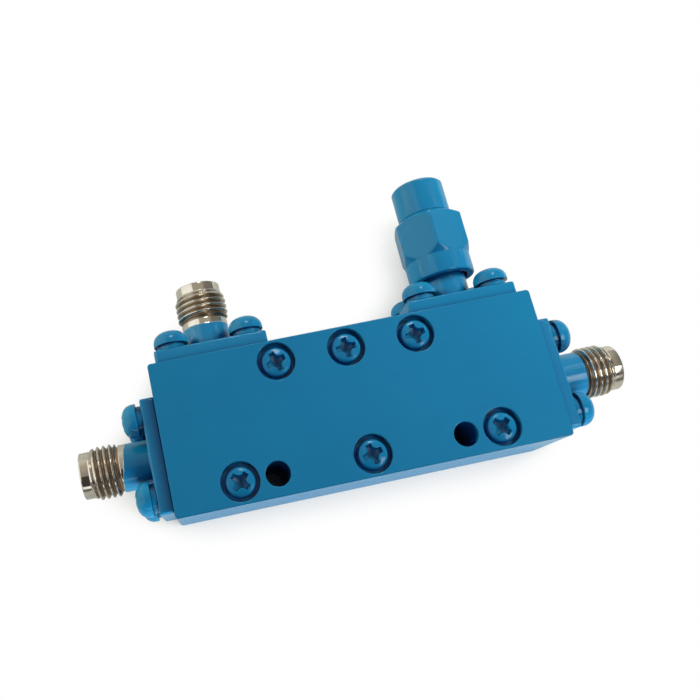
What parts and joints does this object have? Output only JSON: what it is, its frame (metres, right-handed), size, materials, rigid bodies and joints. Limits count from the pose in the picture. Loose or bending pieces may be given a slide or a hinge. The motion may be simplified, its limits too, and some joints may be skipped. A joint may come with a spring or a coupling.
{
  "type": "directional coupler",
  "caption": "Small blue-painted stripline directional coupler: flat block with flange-mounted threaded coaxial jacks and a screwed-on load on the isolated port.",
  "frame": {"origin": "centre of the base face of the block", "axes": "+X along the through line from input to output, +Y towards the coupled and isolated ports, +Z out of the cover"},
  "size_m": [0.067, 0.0363, 0.0124],
  "materials": {
    "blue_paint": "semi-gloss enamel",
    "jack_metal": "passivated, turned",
    "white_insulator": "machined",
    "gold_contact": "gold plated",
    "white_board": "glass-filled laminate",
    "copper_strip": "etched copper",
    "red_rubber": "silicone",
    "dark_resistor": "film on ceramic"
  },
  "bodies": {
    "root": {"housing": "blue_paint", "cover": "blue_paint", "cover_screws": "blue_paint", "input_shell": "jack_metal", "input_insulator": "white_insulator", "input_contact": "gold_contact", "output_shell": "jack_metal", "output_insulator": "white_insulator", "output_contact": "gold_contact", "coupled_shell": "jack_metal", "coupled_insulator": "white_insulator", "coupled_contact": "gold_contact", "isolated_shell": "jack_metal", "isolated_insulator": "white_insulator", "isolated_contact": "gold_contact", "flange_washers": "blue_paint", "flange_screws": "blue_paint", "lower_board": "white_board", "upper_board": "white_board", "through_strip": "copper_strip", "coupled_strip": "copper_strip", "load_nut": "blue_paint", "load_body": "blue_paint", "load_retaining_ring": "jack_metal", "load_gasket": "red_rubber", "load_bead": "white_insulator", "load_pin": "gold_contact", "load_resistor": "dark_resistor"}
  },
  "joints": []
}
